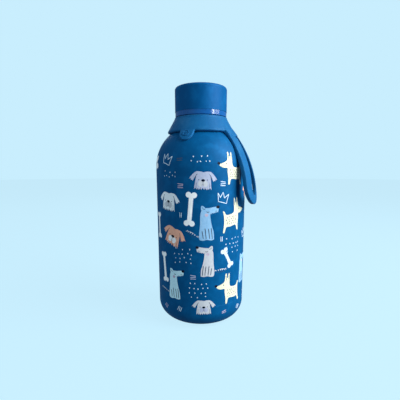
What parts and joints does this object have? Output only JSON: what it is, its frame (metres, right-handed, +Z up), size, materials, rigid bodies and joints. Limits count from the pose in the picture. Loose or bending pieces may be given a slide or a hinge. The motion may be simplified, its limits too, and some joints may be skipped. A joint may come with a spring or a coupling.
{
  "type": "insulated kids water bottle",
  "caption": "Double-walled steel children's bottle with a screw lid and a silicone neck collar carrying a teardrop carry loop.",
  "frame": {"origin": "centre of the resting ring on the base, in the plane the bottle stands on", "axes": "+Z up the bottle's axis, tab towards -Y, carry loop towards +X"},
  "size_m": [0.0829, 0.073, 0.188],
  "materials": {
    "coated_steel": "deep blue matte powder coat with printed decoration",
    "lid_paint": "deep blue matte coat",
    "bare_steel": "brushed stainless",
    "silicone": "matte blue silicone",
    "lid_plastic": "glossy blue moulded polypropylene",
    "foam": "closed-cell insulating foam",
    "gasket_silicone": "milky silicone",
    "seal_glass": "dark sealing glass",
    "getter_alloy": "sintered getter alloy"
  },
  "bodies": {
    "flask": {"outer_wall": "coated_steel", "outer_neck": "coated_steel", "base_cup": "coated_steel", "base_plate": "bare_steel", "vacuum_seal": "seal_glass", "liner_wall": "bare_steel", "liner_neck": "bare_steel", "inner_bottom": "bare_steel", "getter": "getter_alloy", "getter_clip": "bare_steel"},
    "neck_collar": {"collar": "silicone"},
    "loop": {"carry_loop": "silicone"},
    "lid_seal": {"lid_gasket": "gasket_silicone"},
    "lid": {"lid_shell": "lid_paint", "lid_insert": "lid_plastic", "lid_foam": "foam"}
  },
  "joints": [
    {"name": "collar_swivel", "type": "hinge", "parent": "flask", "child": "neck_collar", "pos_m": [0, 0, 0.16], "axis": [0, 0, 1], "continuous": true},
    {"name": "loop_swing", "type": "hinge", "parent": "neck_collar", "child": "loop", "pos_m": [0.029, 0, 0.15253], "axis": [0, -1, 0], "range_deg": [0, 150], "stiffness_Nm_per_rad": 0.02},
    {"name": "lid_rise", "type": "slide", "parent": "flask", "child": "lid_seal", "axis": [0, 0, 1], "range_m": [0, 0.0321]},
    {"name": "lid_turn", "type": "hinge", "parent": "lid_seal", "child": "lid", "pos_m": [0, 0, 0.18], "axis": [0, 0, 1], "range_deg": [0, 1440]}
  ],
  "couplings": [
    {"joint": "lid_rise", "follows": "lid_turn", "m_per_rad": 0.0012732}
  ]
}
